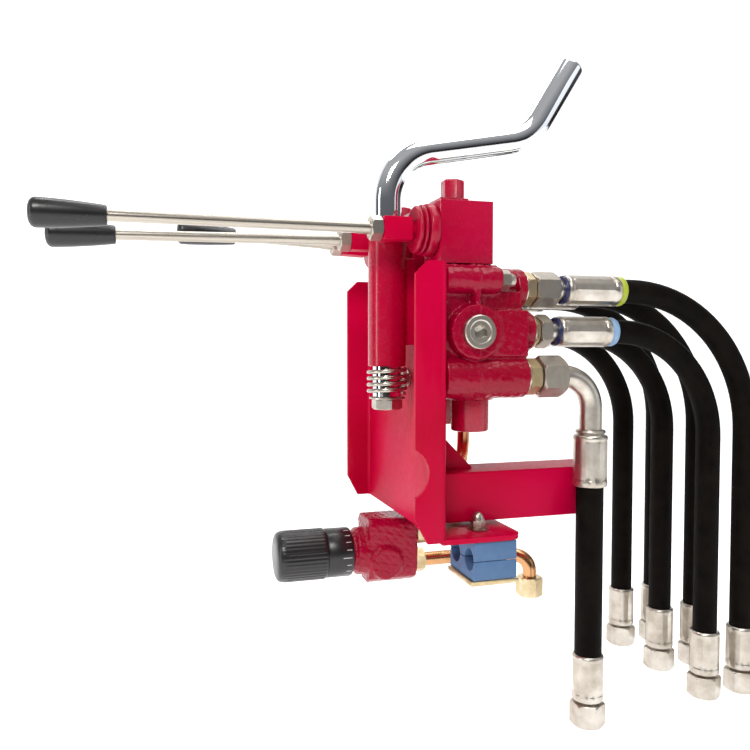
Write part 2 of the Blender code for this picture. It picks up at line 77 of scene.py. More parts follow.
# Floor and backdrop: one pale sheet, flat under the valve and curving up behind it into a wall. Its
# section is a floor line, a quarter circle and a wall line, carried straight across.
def sweep_sheet():
    floor_z, reach, bend = -345.0, 1500.0, 700.0
    turn = np.linspace(0.0, math.pi / 2, 24)
    out = np.concatenate(([-2400.0], reach + bend * np.sin(turn), [reach + bend]))
    up = np.concatenate(([floor_z], floor_z + bend * (1 - np.cos(turn)), [floor_z + 3500.0]))
    side = np.array([-4000.0, 4500.0])
    x, y = np.meshgrid(side, out, indexing="ij")
    z = np.broadcast_to(up, x.shape)
    points = at(np.stack((x, y, z), axis=-1).reshape(-1, 3))
    count = len(out)
    index = np.arange(count - 1)
    faces = np.stack((index, index + count, index + count + 1, index + 1), axis=-1)
    mesh = bpy.data.meshes.new("backdrop")
    mesh.from_pydata(points.tolist(), [], faces.tolist())
    mesh.shade_smooth()
    made = bpy.data.objects.new("backdrop", mesh)
    bpy.context.scene.collection.objects.link(made)
    pale = bpy.data.materials.new("pale_paper")
    pale.use_nodes = True
    shader = pale.node_tree.nodes["Principled BSDF"]
    shader.inputs["Base Color"].default_value = (0.93, 0.93, 0.93, 1.0)
    shader.inputs["Roughness"].default_value = 0.9
    shader.inputs["Emission Color"].default_value = (1.0, 1.0, 1.0, 1.0)
    shader.inputs["Emission Strength"].default_value = 0.62
    mesh.materials.append(pale)


def soft_light(name, place, target, size, power, colour):
    """A square lamp of that size in metres at a place, turned to face the target, both in millimetres."""
    lamp = bpy.data.lights.new(name, "AREA")
    lamp.size = size
    lamp.energy = power
    lamp.color = colour
    made = bpy.data.objects.new(name, lamp)
    bpy.context.scene.collection.objects.link(made)
    made.location = at(place)
    made.rotation_euler = Vector(at(target) - at(place)).to_track_quat("-Z", "Y").to_euler()


def strip_light(name, place, target, width, height, power):
    """A long narrow lamp, which shows as one bright line along a round glossy piece."""
    soft_light(name, place, target, width, power, (1.0, 1.0, 1.0))
    lamp = bpy.data.lights[name]
    lamp.shape = "RECTANGLE"
    lamp.size_y = height


sweep_sheet()
soft_light("key", (-650, -950, 1000), (40, 60, 20), 0.4, 13.0, (1.0, 0.985, 0.96))
soft_light("overhead", (250, -150, 1100), (60, 80, 0), 0.7, 5.5, (1.0, 1.0, 1.0))
soft_light("side_fill", (1300, -700, 300), (60, 60, 0), 0.8, 2.0, (0.94, 0.97, 1.0))
strip_light("left_strip", (-1150, -60, 160), (-20, 60, 30), 0.16, 0.9, 3.2)
strip_light("top_strip", (30, 420, 900), (40, 60, 30), 0.9, 0.14, 4.0)


def studio_room():
    """A room dark below, dim at the sides and bright above: a ramp on the direction's upward part."""
    room = bpy.data.worlds.new("room")
    room.use_nodes = True
    tree = room.node_tree
    direction = tree.nodes.new("ShaderNodeTexCoord")
    parts = tree.nodes.new("ShaderNodeSeparateXYZ")
    ramp = tree.nodes.new("ShaderNodeValToRGB")
    ramp.color_ramp.elements[0].position = 0.0
    ramp.color_ramp.elements[0].color = (0.05, 0.04, 0.035, 1.0)
    ramp.color_ramp.elements[1].position = 0.7
    ramp.color_ramp.elements[1].color = (1.0, 1.0, 1.0, 1.0)
    middle = ramp.color_ramp.elements.new(0.2)
    middle.color = (0.30, 0.31, 0.34, 1.0)
    tree.links.new(direction.outputs["Generated"], parts.inputs[0])
    tree.links.new(parts.outputs["Z"], ramp.inputs[0])
    tree.links.new(ramp.outputs[0], tree.nodes["Background"].inputs["Color"])
    tree.nodes["Background"].inputs["Strength"].default_value = 0.42
    bpy.context.scene.world = room


studio_room()
bpy.context.scene.view_settings.view_transform = "Standard"


# Finishes: each is one Principled shader fed by a few nodes, which these two classes add and join.
class Quantity:
    """A socket that adds a Math node for + or *, with a plain number or another socket on its right."""

    def __init__(self, finish, socket):
        self.finish = finish
        self.socket = socket

    def combined(self, operation, first, second):
        return self.finish.node("ShaderNodeMath", {0: first, 1: second}, operation=operation)

    def __add__(self, other):
        return self.combined("ADD", self, other)

    def __mul__(self, other):
        return self.combined("MULTIPLY", self, other)


class Finish:
    """One material: a Principled shader, and one method that adds any other node."""

    def __init__(self, name):
        self.material = bpy.data.materials.new(name)
        self.material.use_nodes = True
        self.tree = self.material.node_tree
        self.shader = self.tree.nodes["Principled BSDF"]

    def node(self, kind, inputs, output=0, **settings):
        made = self.tree.nodes.new(kind)
        for key, value in settings.items():
            setattr(made, key, value)
        for key, value in inputs.items():
            self.feed(made.inputs[key], value)
        return Quantity(self, made.outputs[output])

    def feed(self, socket, value):
        if isinstance(value, Quantity):
            self.tree.links.new(value.socket, socket)
        else:
            socket.default_value = value

    def set(self, **values):
        for key, value in values.items():
            self.feed(self.shader.inputs[key.replace("_", " ")], value)
        return self

    def place(self, output="Object"):
        return self.node("ShaderNodeTexCoord", {}, output)

    def noise(self, scale, detail=2.0, roughness=0.5, where=None):
        vector = where or self.place()
        sockets = {"Vector": vector, "Scale": scale, "Detail": detail, "Roughness": roughness}
        return self.node("ShaderNodeTexNoise", sockets)

    def ranged(self, value, low, high, to_low, to_high):
        sockets = {"Value": value, 1: low, 2: high, 3: to_low, 4: to_high}
        return self.node("ShaderNodeMapRange", sockets)

    def mixed(self, share, first, second):
        """The colour share of the way from first to second."""
        return self.node("ShaderNodeMix", {0: share, 6: first, 7: second}, 2, data_type="RGBA")

    def bumps(self, height, strength, distance):
        sockets = {"Height": height, "Strength": strength, "Distance": distance}
        self.set(Normal=self.node("ShaderNodeBump", sockets))
        return self


def colour(red, green, blue):
    return (red, green, blue, 1.0)


# Hose rubber: black cover marked by the cloth it was cured in, a little dusty. The cloth mark is two
# crossed sets of fine waves on the hose's own UV map, which is in metres round and along the hose.
def hose_cover():
    made = Finish("hose_cover")
    wrap = made.place("UV")
    dust = made.noise(55.0, 4.0, 0.6)
    leans = []
    for lean in (0.9, -0.9):
        turned = made.node("ShaderNodeMapping", {"Vector": wrap, "Rotation": (0.0, 0.0, lean)})
        waves = {"Vector": turned, "Scale": 260.0, "Distortion": 0.4}
        leans.append(made.node("ShaderNodeTexWave", waves, 1))
    cloth = leans[0] * leans[1]
    tone = made.ranged(dust, 0.35, 0.75, 0.0, 1.0)
    made.set(Base_Color=made.mixed(tone, colour(0.003, 0.002, 0.0018), colour(0.008, 0.006, 0.0045)))
    made.set(Roughness=made.ranged(dust, 0.3, 0.7, 0.42, 0.62), Specular_IOR_Level=0.04)
    made.bumps(cloth + dust * 0.6, 0.35, 0.00025)
    return made.material


def skin(name, grid, uv_size, material, angle=38.0):
    """A mesh over a grid of rings: grid[i, j] is place j round ring i. Each ring closes on itself, the
    first and last rings are shut by a fan about their middle, and the UV map holds metres."""
    rows, columns = grid.shape[:2]
    i, j = np.meshgrid(np.arange(rows - 1), np.arange(columns), indexing="ij")
    i, j = i.ravel(), j.ravel()
    after = (j + 1) % columns
    here, there = i * columns, (i + 1) * columns
    quads = np.stack((here + j, here + after, there + after, there + j), -1)
    round_length, run = uv_size
    uv_u = np.stack((j, j + 1, j + 1, j), -1) / columns * round_length
    uv_v = np.stack((run[i], run[i], run[i + 1], run[i + 1]), -1)
    uv = np.stack((uv_u, uv_v), -1).reshape(-1, 2)
    middles = np.stack((grid[0].mean(0), grid[-1].mean(0)))
    points = np.concatenate((grid.reshape(-1, 3), middles))
    k = np.arange(columns)
    nexts = (k + 1) % columns
    first, last = rows * columns, rows * columns + 1
    base = (rows - 1) * columns
    start_fan = np.stack((np.full(columns, first), nexts, k), -1)
    end_fan = np.stack((np.full(columns, last), base + k, base + nexts), -1)
    faces = quads.tolist() + start_fan.tolist() + end_fan.tolist()
    uv = np.concatenate((uv, np.zeros((columns * 6, 2))))
    mesh = bpy.data.meshes.new(name)
    mesh.from_pydata(points.tolist(), [], faces)
    layer = mesh.uv_layers.new(name="UVMap")
    layer.data.foreach_set("uv", uv.ravel())
    shape = bmesh.new()
    shape.from_mesh(mesh)
    bmesh.ops.recalc_face_normals(shape, faces=shape.faces)
    shape.to_mesh(mesh)
    shape.free()
    mesh.shade_smooth()
    mesh.set_sharp_from_angle(angle=math.radians(angle))
    mesh.materials.append(material)
    made = bpy.data.objects.new(name, mesh)
    bpy.context.scene.collection.objects.link(made)
    return made


def carried(points, radii, sides, square_to):
    """Rings along a line: ring i is a circle of radius i in the plane square to the line there, measured
    from the direction that is square to both the line and one fixed direction."""
    points = np.asarray(points, float)
    along = np.gradient(points, axis=0)
    along /= np.linalg.norm(along, axis=1, keepdims=True)
    side = np.cross(along, np.asarray(square_to, float))
    side /= np.linalg.norm(side, axis=1, keepdims=True)
    other = np.cross(along, side)
    turn = np.linspace(0.0, math.tau, sides, endpoint=False)
    spread = side[:, None] * np.cos(turn)[None, :, None] + other[:, None] * np.sin(turn)[None, :, None]
    return points[:, None] + spread * np.broadcast_to(radii, len(points))[:, None, None]


def run_of(points):
    """The distance walked along a list of points, in metres when they are millimetres."""
    steps = np.linalg.norm(np.diff(points, axis=0), axis=1)
    return np.concatenate(([0.0], np.cumsum(steps))) / 1000.0


def ridden(piece, body, slot, *nodes):
    """Makes a piece ride a body and stand for the CAD nodes named, which it hides. The slot is not used."""
    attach(piece, body)
    if nodes:
        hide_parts(*nodes)
    return piece


def rounded_line(corners, radii, steps):
    """The corners' line with each inner corner rounded: an arc of its radius, tangent to both sides."""
    corners = np.asarray(corners, float)
    path = [corners[:1]]
    for before, corner, after, radius in zip(corners, corners[1:], corners[2:], radii):
        into = (corner - before) / np.linalg.norm(corner - before)
        out = (after - corner) / np.linalg.norm(after - corner)
        bend = math.acos(float(np.dot(into, out)))
        start = corner - into * radius * math.tan(bend / 2)
        inward = out - into * np.dot(into, out)
        inward /= np.linalg.norm(inward)
        turn = np.linspace(0.0, bend, steps)[:, None]
        path.append(start + into * radius * np.sin(turn) + inward * radius * (1 - np.cos(turn)))
    path.append(corners[-1:])
    return np.concatenate(path)


# Metal of the fittings: steel with bright zinc plate, a little yellow where it was passivated, with
# fine turning marks and cloudy wear. Base colour and roughness follow two sizes of noise.
def plated(name, pale, dark):
    made = Finish(name)
    cloud = made.noise(70.0, 3.0, 0.55)
    grain = made.noise(900.0, 2.0, 0.5)
    tone = made.ranged(cloud, 0.32, 0.68, 0.0, 1.0)
    made.set(Metallic=1.0, Base_Color=made.mixed(tone, pale, dark))
    made.set(Roughness=made.ranged(cloud + grain * 0.4, 0.4, 1.0, 0.26, 0.42))
    made.bumps(grain, 0.12, 0.00015)
    return made.material


zinc = plated("zinc_plate", colour(0.62, 0.58, 0.52), colour(0.42, 0.37, 0.31))
yellow_zinc = plated("yellow_zinc_plate", colour(0.72, 0.60, 0.38), colour(0.50, 0.38, 0.21))


def turned_piece(name, axis, centre, stations, radii, sides, material, angle=38.0):
    """A surface turned about X, Y or Z: stations are places along the axis in millimetres, and radii one
    radius for each, or a whole grid of radii with a column for each direction round the axis."""
    stations = np.asarray(stations, float)
    radii = np.asarray(radii, float)
    if radii.ndim == 1:
        radii = np.broadcast_to(radii[:, None], (len(stations), sides))
    turn = np.linspace(0.0, math.tau, sides, endpoint=False)
    first = centre[0] + radii * np.cos(turn)
    second = centre[1] + radii * np.sin(turn)
    third = np.broadcast_to(stations[:, None], first.shape)
    order = {"X": (third, first, second), "Y": (first, third, second), "Z": (first, second, third)}
    grid = np.stack(order[axis], axis=-1)
    profile = np.stack((stations, radii[:, 0]), axis=-1)
    size = (math.tau * float(radii.max()) / 1000.0, run_of(profile))
    return skin(name, at(grid), size, material, angle)


def hexagon_radii(across_flats, stations, start, end, sides):
    """The smaller of two radii: a hexagon's, which depends on direction, and a chamfer cone's, which
    starts just outside the flats at each end and widens at 30 degrees inwards."""
    turn = np.linspace(0.0, math.tau, sides, endpoint=False)
    from_flat = (turn + math.pi / 6) % (math.pi / 3) - math.pi / 6
    flat = across_flats / 2 / np.cos(from_flat)
    inwards = np.minimum(stations - start, end - stations)
    cone = across_flats / 2 * 0.975 + np.maximum(inwards, 0.0) * math.tan(math.radians(60))
    return np.minimum(flat[None, :], cone[:, None])


def hexagon_piece(name, axis, centre, across_flats, start, end, material):
    """A six-sided nut or head, with its corners taken off by the chamfer cone at both ends."""
    chamfer = across_flats * 0.1
    ends = np.linspace(0.0, chamfer, 6)
    stations = np.concatenate((start + ends, end - ends[::-1]))
    radii = hexagon_radii(across_flats, stations, start, end, 72)
    return turned_piece(name, axis, centre, stations, radii, 72, material, 20.0)


def crimped_sleeve(name, axis, centre, start, end, radius, bore, material):
    """A sleeve pressed by eight jaws: its radius dips by a cosine at the eight gaps between the jaws,
    between a plain collar at one end and a rolled edge at the other."""
    direction = math.copysign(1.0, end - start)
    length = abs(end - start)
    steps = np.array([0.0, 0.0, 0.6, 1.6, 3.0, 4.2, 5.0, 7.0, 0, 0, 0, 0, 0, 0])
    steps[8:] = length - np.array([9.0, 6.0, 5.2, 1.4, 0.5, 0.0])
    height = np.array([bore, -1.4, -0.5, 0.0, 0.0, -0.5, -0.5, -0.5, -0.5, -0.5, 0.0, 0.0, -0.4, -1.3])
    height[1:] += radius
    pressed = np.array([0, 0, 0, 0, 0, 0.4, 0.8, 1, 1, 0.8, 0, 0, 0, 0], float)
    turn = np.linspace(0.0, math.tau, 64, endpoint=False)
    dip = 0.5 * np.clip(np.cos(8 * turn), 0.55, 1.0) - 0.5 * 0.55
    radii = height[:, None] + pressed[:, None] * dip[None, :] / 0.45
    stations = start + direction * steps
    return turned_piece(name, axis, centre, stations, radii, 64, material, 30.0)


# Hoses: half-inch two-wire hydraulic hose, 20.4 mm over its rubber cover. Each leaves its port level,
# turns down in one wide bend and hangs straight to a crimped sleeve and a swivel nut.
hose_rubber = hose_cover()
section_y = (32.0, 94.0, 156.0)
row_a = {"z": 45.0, "face": 74.6, "nut": (84.5, 105.9), "sleeve": (113.8, 163.0), "hex": 25.0}
row_b = {"z": 11.0, "face": 82.0, "nut": (88.3, 99.0), "sleeve": (107.7, 155.0), "hex": 24.0}
row_a.update(drop=300.0, bend=122.0)
row_b.update(drop=260.0, bend=92.0)
hose_foot = -255.0
hose_radius, return_hose_radius, sleeve_radius = 10.2, 11.0, 12.6
return_y, return_z, return_drop = 17.0, -25.0, 131.4


def hanging_hose(name, route, radius, node):
    """A round skin along the route, with its far sleeve and nut as separate pieces."""
    foot = route[-1]
    inner = foot[2] + 1.0
    centre = foot[:2]
    sleeve = crimped_sleeve(
        f"{name}_end_sleeve", "Z", centre, inner, inner - 38.0, sleeve_radius, radius, zinc
    )
    tail_z = [inner - 37.5, inner - 40.5]
    tail = turned_piece(f"{name}_end_tail", "Z", centre, tail_z, [8.4, 8.4], 40, zinc)
    nut = hexagon_piece(f"{name}_end_nut", "Z", centre, 25.0, inner - 59.0, inner - 40.0, zinc)
    grid = at(carried(route, radius, 40, (0.0, 1.0, 0.0)))
    hose = skin(name, grid, (math.tau * radius / 1000.0, run_of(route)), hose_rubber)
    for part in (sleeve, tail, nut):
        ridden(part, "valve", "zinc", node)
    ridden(hose, "valve", "hose_rubber", node)


def port_hose_route(y, row):
    start = row["sleeve"][1] + 0.3
    corners = [(start, y, row["z"]), (row["drop"], y, row["z"]), (row["drop"], y, hose_foot)]
    bent = rounded_line(corners, [row["bend"]], 24)
    drop = np.linspace(bent[-2], bent[-1], 10)[1:]
    lead = np.linspace(bent[0], bent[1], 3)[:2]
    return np.concatenate((lead, bent[1:-1], drop))


ports = [(y, row) for y in section_y for row in (row_a, row_b)]
for number, (y, row) in enumerate(ports, 1):
    hanging_hose(f"port_hose_{number}", port_hose_route(y, row), hose_radius, f"work_hose_{number}")
return_top = -115.3
return_route = np.linspace((return_drop, return_y, return_top), (return_drop, return_y, hose_foot), 16)
hanging_hose("tank_hose", return_route, return_hose_radius, "return_hose")


# Port fittings: a hexagon adapter screwed into each port, a swivel nut on its cone, and the hose tail
# with its crimped sleeve. A dark ring seals each sleeve's mouth and a coloured band marks two hoses.
def plain_plastic(name, tint, rough):
    made = Finish(name)
    cloud = made.noise(160.0, 3.0)
    darker = tuple(channel * 0.75 for channel in tint[:3]) + (1.0,)
    made.set(Base_Color=made.mixed(cloud, tint, darker))
    made.set(Roughness=made.ranged(cloud, 0.3, 0.7, rough, rough + 0.15))
    made.bumps(made.noise(1400.0), 0.15, 0.0001)
    return made.material


navy = plain_plastic("navy_ring", colour(0.01, 0.014, 0.09), 0.3)
lime = plain_plastic("lime_band", colour(0.42, 0.50, 0.03), 0.35)
sky = plain_plastic("sky_band", colour(0.25, 0.42, 0.66), 0.35)


def band(name, y, z, start, end, radius, material):
    """A rounded ring: its radius swells by a half sine from end to end."""
    stations = np.linspace(start, end, 9)
    swell = np.sin(np.linspace(0.0, math.pi, 9))
    return turned_piece(name, "X", (y, z), stations, radius + 0.9 * swell, 56, material)


for number, (y, row) in enumerate(ports, 1):
    name = f"fitting_{number}"
    node = f"hose_fitting_{number}"
    centre = (y, row["z"])
    nut_start, nut_end = row["nut"]
    low, high = row["sleeve"]
    face, flats = row["face"], row["hex"]
    spigot_x, washer_x = [face - 13, face + 1.2], [face + 0.3, face + 1.5]
    spigot = turned_piece(f"{name}_spigot", "X", centre, spigot_x, [9.6, 9.6], 40, yellow_zinc)
    washer = turned_piece(f"{name}_washer", "X", centre, washer_x, [13.2, 13.2], 48, zinc)
    adapter = hexagon_piece(
        f"{name}_adapter", "X", centre, flats - 1, face + 1.5, nut_start - 0.6, yellow_zinc
    )
    nut = hexagon_piece(f"{name}_nut", "X", centre, flats, nut_start, nut_end, zinc)
    stations = [nut_start - 1, nut_end - 1, nut_end + 0.6, nut_end + 1.4, low + 2.5]
    tail = turned_piece(f"{name}_tail", "X", centre, stations, [8.0, 8.0, 9.6, 8.3, 8.3], 48, zinc)
    sleeve = crimped_sleeve(f"{name}_sleeve", "X", centre, low, high, sleeve_radius, 8.3, zinc)
    for part, slot in ((spigot, "yellow_zinc"), (washer, "zinc"), (adapter, "yellow_zinc")):
        ridden(part, "valve", slot, node)
    for part in (nut, tail, sleeve):
        ridden(part, "valve", "zinc", node)
    ring = band(f"{name}_ring", *centre, low - 2.6, low + 0.4, 11.0, navy)
    ridden(ring, "valve", "blue_plastic")

near_y = section_y[0]
ridden(band("lime_mark", near_y, row_a["z"], 163.2, 168.4, 11.6, lime), "valve", "blue_plastic")
ridden(band("sky_mark", near_y, row_b["z"], 155.2, 161.2, 11.2, sky), "valve", "blue_plastic")

# Return line: a hexagon adapter, a large swivel nut and a bent tube that turns straight down into its
# own crimped sleeve. The tube is bright drawn steel with a rolled collar above the sleeve.
return_centre = (return_y, return_z)
washer = turned_piece("return_washer", "X", return_centre, [69.3, 70.8], [13.6, 13.6], 48, zinc)
seat = hexagon_piece("return_seat", "X", return_centre, 25.0, 70.8, 81.4, yellow_zinc)
spigot = turned_piece("return_spigot", "X", return_centre, [57.0, 92.0], [9.4, 9.4], 40, zinc)
for part, slot in ((washer, "zinc"), (seat, "yellow_zinc"), (spigot, "zinc")):
    ridden(part, "valve", slot, "return_adapter")
big_nut = hexagon_piece("return_swivel_nut", "X", return_centre, 29.0, 82.0, 103.8, zinc)
ridden(big_nut, "valve", "zinc", "return_nut")
bend_start, bend_foot = 92.5, -72.0
bend_corners = [(bend_start, *return_centre), (return_drop, *return_centre)]
bend_corners.append((return_drop, return_y, bend_foot))
bend = rounded_line(bend_corners, [26.0], 24)
bend_grid = at(carried(bend, 8.9, 40, (0.0, 1.0, 0.0)))
bent_tube = skin("return_bend", bend_grid, (0.056, run_of(bend)), zinc)
ridden(bent_tube, "valve", "zinc", "return_elbow")
drop_centre = (return_drop, return_y)
collar_z = [-68.6, -69.0, -70.4, -71.4, -72.0, -73.4]
collar_r = [9.0, 11.4, 12.2, 11.6, 10.4, 10.4]
collar = turned_piece("return_collar", "Z", drop_centre, collar_z, collar_r, 48, zinc)
ridden(collar, "valve", "zinc", "return_elbow")
drop_sleeve = crimped_sleeve("return_sleeve", "Z", drop_centre, -73.0, -115.0, 13.8, 9.0, zinc)
ridden(drop_sleeve, "valve", "zinc", "return_elbow")


# Bracket and stub: 4 mm sheet folded into a channel with a foot, and a square tube welded on, all in
# one thick coat of raspberry-red gloss paint that softens every edge and has a slight orange peel.
def red_gloss(name, peel_size, peel_depth, rough, shine, tone=1.0):
    made = Finish(name)
    drift = made.noise(9.0, 2.0)
    peel = made.noise(peel_size, 3.0, 0.6)
    fine = made.noise(peel_size * 3.0, 2.0, 0.5)
    # A tone below 1 darkens both colours of this one paint: painted shade for parts that sit darker under the
    # lights.
    deep = colour(0.42 * tone, 0.0, 0.022 * tone)
    bright = colour(0.54 * tone, 0.0, 0.046 * tone)
    made.set(Base_Color=made.mixed(made.ranged(drift, 0.3, 0.7, 0.0, 1.0), deep, bright))
    made.set(Roughness=made.ranged(peel, 0.3, 0.7, rough, rough + 0.12))
    made.set(Specular_IOR_Level=shine, Coat_Weight=shine, Coat_Roughness=0.06)
    made.bumps(peel + fine * 0.25, 0.6, peel_depth)
    return made.material


red_sheet = red_gloss("red_gloss_paint", 190.0, 0.0002, 0.34, 0.05)
# The tube's copy, also used on the lever housings and spring caps, is darkened to 0.80 and the casting's to
# 0.62: painted shade on the same paint, besides their real differences in gloss and orange peel.
red_tube = red_gloss("red_gloss_on_tube_with_painted_shade", 150.0, 0.00012, 0.2, 0.30, 0.80)
red_rough = red_gloss("red_paint_on_casting_with_painted_shade", 240.0, 0.0011, 0.18, 0.17, 0.62)


def softened(name, node, width, material, segments=3):
    """A copy of a CAD node, its points merged and its hard edges rounded by a bevel."""
    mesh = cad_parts[node].data.copy()
    mesh.materials.clear()
    mesh.materials.append(material)
    shape = bmesh.new()
    shape.from_mesh(mesh)
    bmesh.ops.remove_doubles(shape, verts=shape.verts, dist=0.00002)
    bmesh.ops.dissolve_limit(shape, angle_limit=math.radians(1.0), verts=shape.verts, edges=shape.edges)
    shape.to_mesh(mesh)
    shape.free()
    mesh.shade_smooth()
    made = bpy.data.objects.new(name, mesh)
    bpy.context.scene.collection.objects.link(made)
    bevel = made.modifiers.new("edge", "BEVEL")
    bevel.width = width
    bevel.segments = segments
    bevel.limit_method = "ANGLE"
    bevel.angle_limit = math.radians(37)
    bevel.harden_normals = True
    return made


ridden(softened("folded_bracket", "bracket", 0.0007, red_sheet), "valve", "red_paint", "bracket")
ridden(softened("square_stub", "mounting_stub", 0.0022, red_sheet, 4), "valve", "red_paint", "mounting_stub")


# Valve body: one iron casting that holds the spool bores and every port, painted over its sand-cast
# skin. The CAD solid is remeshed finely and smoothed, so each join of two shapes becomes a cast fillet.
spool_x = 31.0
bore_wall = 0.0096


def cast(name, node, voxel, rounds, material, seam=None, bores=()):
    """The CAD solid in small cells, relaxed, then moved along its normals by the sum of three sine
    products with waves of 11, 6 and 3.5 mm, and by a bell-shaped bead where the mould parted. Bores
    along Z are then machined out to bore_wall, which the cells and the relaxing had closed in on."""
    source = softened(name, node, 0.0001, material, 1)
    source.modifiers.clear()
    remesh = source.modifiers.new("casting", "REMESH")
    remesh.mode = "VOXEL"
    remesh.voxel_size = voxel
    relax = source.modifiers.new("fillets", "SMOOTH")
    relax.factor = 0.6
    relax.iterations = rounds
    graph = bpy.context.evaluated_depsgraph_get()
    mesh = bpy.data.meshes.new_from_object(source.evaluated_get(graph))
    source.modifiers.clear()
    source.data = mesh
    place = np.empty(len(mesh.vertices) * 3)
    mesh.vertices.foreach_get("co", place)
    place = place.reshape(-1, 3)
    normal = np.empty(len(mesh.vertices) * 3)
    mesh.vertex_normals.foreach_get("vector", normal)
    normal = normal.reshape(-1, 3)
    skin_depth = np.zeros(len(place))
    for wave, depth in ((0.011, 0.00016), (0.006, 0.00010), (0.0035, 0.00006)):
        turns = place * (math.tau / wave) + np.roll(place, 1, axis=1) * (math.tau / wave * 0.6)
        skin_depth += depth * np.sin(turns).prod(axis=1) * 1.8
    if seam is not None:
        seam_x = at((seam, 0.0, 0.0))[0]
        skin_depth += 0.0007 * np.exp(-(((place[:, 0] - seam_x) / 0.0009) ** 2))
    place = place + normal * skin_depth[:, None]
    for bore_x, bore_y in bores:
        middle = np.array(at((bore_x, bore_y, 0.0)))[:2]
        away = place[:, :2] - middle
        reach = np.maximum(np.linalg.norm(away, axis=1), 1e-6)
        inside = reach < bore_wall
        place[inside, :2] = middle + away[inside] * (bore_wall / reach[inside])[:, None]
    mesh.vertices.foreach_set("co", place.ravel())
    mesh.shade_smooth()
    mesh.update()
    return source


spool_bores = [(spool_x, y) for y in section_y]
mould_parting_x = 26.0
body_casting = cast(
    "valve_casting", "valve_body", 0.0010, 9, red_rough, mould_parting_x, spool_bores
)
ridden(body_casting, "valve", "red_cast", "valve_body")


# End plug and relief valve: a zinc-plated plug with a hexagon socket closes the near end of the cross
# gallery, and a small capped hexagon beside the top ridge is the relief valve's setting screw.
def socket_plug():
    """One surface in and out: a chamfered rim, a dished face, then a hexagon wall down to a cone."""
    sides = 72
    stations = np.array([14.0, 2.7, 2.7, -1.9, -2.7, -2.7, -2.2, -2.2, 3.6, 4.8])
    radii = np.array([9.6, 9.6, 12.8, 12.8, 12.0, 9.2, 8.2, 0.0, 0.0, 0.6])
    grid = np.broadcast_to(radii[:, None], (len(radii), sides)).copy()
    turn = np.linspace(0.0, math.tau, sides, endpoint=False)
    hexagon = 5.1 / np.cos((turn + math.pi / 6) % (math.pi / 3) - math.pi / 6)
    grid[7] = hexagon
    grid[8] = hexagon
    return turned_piece("end_plug", "Y", (24.8, 9.8), stations, grid, sides, zinc, 25.0)


ridden(socket_plug(), "valve", "zinc", "port_plug")
relief_centre = (12.0, 50.0)
relief_head = hexagon_piece("relief_hexagon", "X", relief_centre, 14.0, 46.3, 54.0, zinc)
ridden(relief_head, "valve", "zinc", "relief_valve")
cap_x = [36.0, 46.6, 46.7, 53.0, 57.4, 58.8, 59.4]
cap_r = [5.8, 5.8, 5.0, 5.0, 5.0, 4.4, 3.2]
relief_cap = turned_piece("relief_cap", "X", relief_centre, cap_x, cap_r, 40, zinc)
ridden(relief_cap, "valve", "zinc", "relief_valve")

# Spring caps: three turned cups under the spools, painted with the body, that house the centring
# springs. Each is a cup surface that runs from its floor up the bore, over the rim and down outside.
cup_z = [-64.0, -64.0, -43.3, -43.3, -46.0, -66.0, -67.4, -68.0]
cup_r = [0.5, 11.5, 11.5, 15.0, 15.0, 15.0, 14.4, 13.0]
for number, y in enumerate(section_y, 1):
    cup = turned_piece(f"spool_cap_{number}", "Z", (spool_x, y), cup_z, cup_r, 56, red_tube)
    ridden(cup, "valve", "red_paint", f"spring_cap_{number}")

# Lever boxes and boots: a painted block over each spool carries the lever's pin, and a ribbed rubber
# boot, painted over, closes the gap round the lever. Each boot is bent to its lever's set tilt.
# The boots' copy of the red paint is darkened to 0.75: painted shade, besides the rubber's deeper orange
# peel.
boot_rubber = red_gloss("red_paint_on_rubber_with_painted_shade", 260.0, 0.0006, 0.3, 0.2, 0.75)
pivot_x, pivot_z = 14.0, 88.6
boot_back, boot_front = -1.3, -17.0
lever_tilts = (0.0, -1.0, 2.5)


def ribbed_boot(number, y, tilt):
    """A profile of stations and radii turned about X: a wide collar with a rolled edge, two thinner
    rings with a deep groove before each, a face down to the lever, and the bore back to the start. Each
    ring's middle is raised in proportion to its distance from the pin, as the lever's axis is."""
    outside = [(boot_back, 19.6), (-1.8, 20.2), (-5.0, 20.4), (-7.2, 20.2), (-8.2, 19.6), (-8.8, 18.4)]
    outside += [(-8.9, 15.6), (-9.5, 15.0), (-10.2, 15.6), (-10.3, 18.2), (-10.7, 19.0), (-11.6, 19.2)]
    outside += [(-12.3, 18.6)]
    outside += [(-12.5, 15.4), (-13.1, 14.9), (-13.8, 15.4), (-13.9, 17.2), (-14.4, 18.0), (-15.8, 18.1)]
    outside += [(-16.7, 17.2), (boot_front, 15.6), (-16.7, 12.0), (boot_front, 8.6), (-17.2, 7.4)]
    inside = [(-16.0, 7.1), (-14.5, 8.0), (-12.0, 13.6), (-4.0, 14.0), (boot_back, 14.0)]
    profile = np.array(outside + inside)
    made = turned_piece(
        f"ribbed_boot_{number}", "X", (y, pivot_z), profile[:, 0], profile[:, 1], 72, boot_rubber, 60.0
    )
    place = np.empty(len(made.data.vertices) * 3)
    made.data.vertices.foreach_get("co", place)
    place = place.reshape(-1, 3)
    pin_x = at((pivot_x, 0.0, 0.0))[0]
    box_x = at((boot_back, 0.0, 0.0))[0]
    depth = (boot_back - boot_front) / 1000.0
    share = np.clip((box_x - place[:, 0]) / depth, 0.0, 1.0)
    place[:, 2] += share * (pin_x - place[:, 0]) * math.tan(math.radians(tilt))
    made.data.vertices.foreach_set("co", place.ravel())
    made.data.update()
    return made


